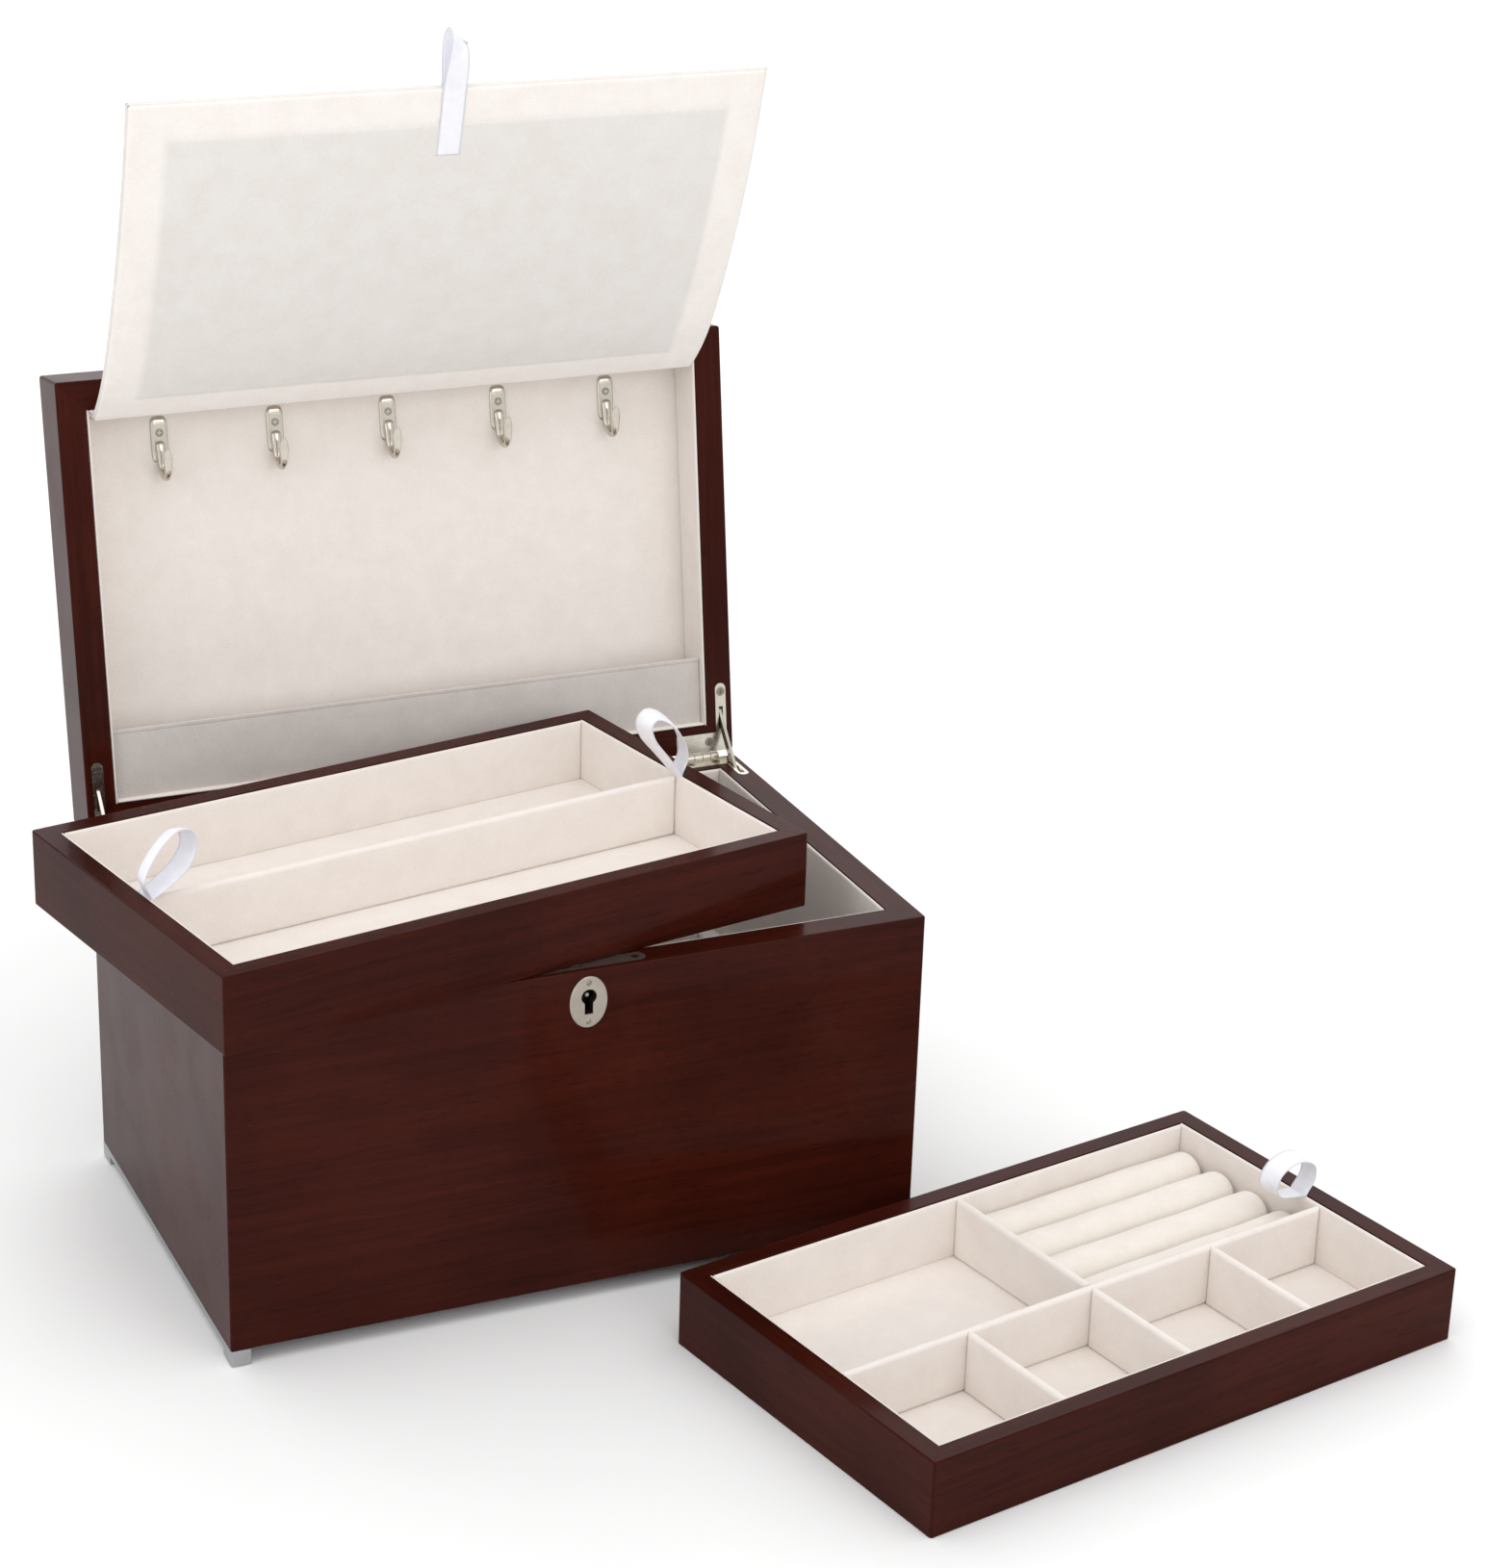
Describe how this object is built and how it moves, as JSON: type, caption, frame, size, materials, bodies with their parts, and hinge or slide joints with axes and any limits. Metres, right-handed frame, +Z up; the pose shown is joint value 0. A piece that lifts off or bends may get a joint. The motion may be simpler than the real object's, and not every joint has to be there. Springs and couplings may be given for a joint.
{
  "type": "jewellery chest",
  "caption": "Lacquered wooden jewellery chest with a lined interior, a stay-hinged lid holding necklace hooks under a folding flap, lift-out trays, a lid lock and metal foot rails.",
  "frame": {"origin": "centre of the chest's footprint, on the surface it stands on", "axes": "+X along the chest's front to the right, +Y from the front to the back, +Z up; the lid stands open and the trays are out, as in use"},
  "size_m": [0.556, 0.5066, 0.542],
  "materials": {
    "lacquered_wood": "dark mahogany stain under semi-gloss lacquer",
    "suede_lining": "ivory faux suede",
    "satin_pocket": "pale grey satin-faced suede",
    "satin_ribbon": "white satin ribbon",
    "brushed_aluminium": "brushed",
    "nickel_plate": "bright nickel plate",
    "bright_steel": "plain",
    "felt": "black felt"
  },
  "bodies": {
    "chest": {"chest_back_wall": "lacquered_wood", "chest_bottom_panel": "lacquered_wood", "chest_floor_liner": "suede_lining", "chest_front_wall": "lacquered_wood", "chest_left_wall": "lacquered_wood", "chest_right_wall": "lacquered_wood", "chest_wall_liners": "suede_lining", "escutcheon": "nickel_plate", "escutcheon_pins": "nickel_plate", "foot_pads": "felt", "foot_rail_left": "brushed_aluminium", "foot_rail_right": "brushed_aluminium", "foot_screws": "bright_steel", "hinge_box_leaf_left": "nickel_plate", "hinge_box_leaf_right": "nickel_plate", "hinge_box_screws": "nickel_plate", "hinge_pins": "nickel_plate", "lock_case": "bright_steel", "lock_drill_pin": "bright_steel", "lock_plate": "nickel_plate", "lock_screws": "nickel_plate", "lock_spring": "bright_steel", "tray_rest_boards": "suede_lining"},
    "lid": {"flap_batten": "suede_lining", "hinge_lid_leaf_left": "nickel_plate", "hinge_lid_leaf_right": "nickel_plate", "hook_screws": "nickel_plate", "lid_back_rail": "lacquered_wood", "lid_front_rail": "lacquered_wood", "lid_left_rail": "lacquered_wood", "lid_panel_liner": "suede_lining", "lid_right_rail": "lacquered_wood", "lid_screws": "nickel_plate", "lid_side_liners": "suede_lining", "lid_top_panel": "lacquered_wood", "necklace_hook_1": "nickel_plate", "necklace_hook_2": "nickel_plate", "necklace_hook_3": "nickel_plate", "necklace_hook_4": "nickel_plate", "necklace_hook_5": "nickel_plate", "necklace_pocket": "satin_pocket", "strike_plate": "nickel_plate"},
    "flap": {"flap_pull_ribbon": "satin_ribbon", "necklace_flap": "suede_lining"},
    "lock_bolt": {"lock_bolt": "bright_steel"},
    "lower_tray": {"lower_tray_base": "lacquered_wood", "lower_tray_dividers": "suede_lining", "lower_tray_floor_liner": "suede_lining", "lower_tray_ribbons": "satin_ribbon", "lower_tray_wall_liners": "suede_lining", "lower_tray_walls": "lacquered_wood", "ring_rolls": "suede_lining"},
    "stay_left": {"stay_left": "nickel_plate"},
    "stay_right": {"stay_right": "nickel_plate"},
    "upper_tray": {"upper_tray_base": "lacquered_wood", "upper_tray_divider": "suede_lining", "upper_tray_floor_liner": "suede_lining", "upper_tray_ribbons": "satin_ribbon", "upper_tray_wall_liners": "suede_lining", "upper_tray_walls": "lacquered_wood"}
  },
  "joints": [
    {"name": "lid_hinge", "type": "hinge", "parent": "chest", "child": "lid", "pos_m": [0, 0.1088, 0.164], "axis": [1, 0, 0], "range_deg": [0, 18]},
    {"name": "flap_fold", "type": "hinge", "parent": "lid", "child": "flap", "pos_m": [0, 0.13814, 0.3586], "axis": [-1, 0, 0], "range_deg": [-112, 0]},
    {"name": "upper_tray_lift", "type": "slide", "parent": "chest", "child": "upper_tray", "axis": [0, 0, 1], "range_m": [0, 0.05]},
    {"name": "lower_tray_lift", "type": "slide", "parent": "chest", "child": "lower_tray", "axis": [0, 0, 1], "range_m": [0, 0.05]},
    {"name": "lock_bolt_slide", "type": "slide", "parent": "chest", "child": "lock_bolt", "axis": [1, 0, 0], "range_m": [0, 0.0035]},
    {"name": "stay_left_swing", "type": "hinge", "parent": "lid", "child": "stay_left", "pos_m": [-0.159, 0.11618, 0.18657], "axis": [1, 0, 0], "range_deg": [-16, 0]},
    {"name": "stay_right_swing", "type": "hinge", "parent": "lid", "child": "stay_right", "pos_m": [0.159, 0.11618, 0.18657], "axis": [1, 0, 0], "range_deg": [-16, 0]}
  ],
  "couplings": [
    {"joint": "stay_left_swing", "follows": "lid_hinge", "ratio": -0.861},
    {"joint": "stay_right_swing", "follows": "lid_hinge", "ratio": -0.861}
  ]
}
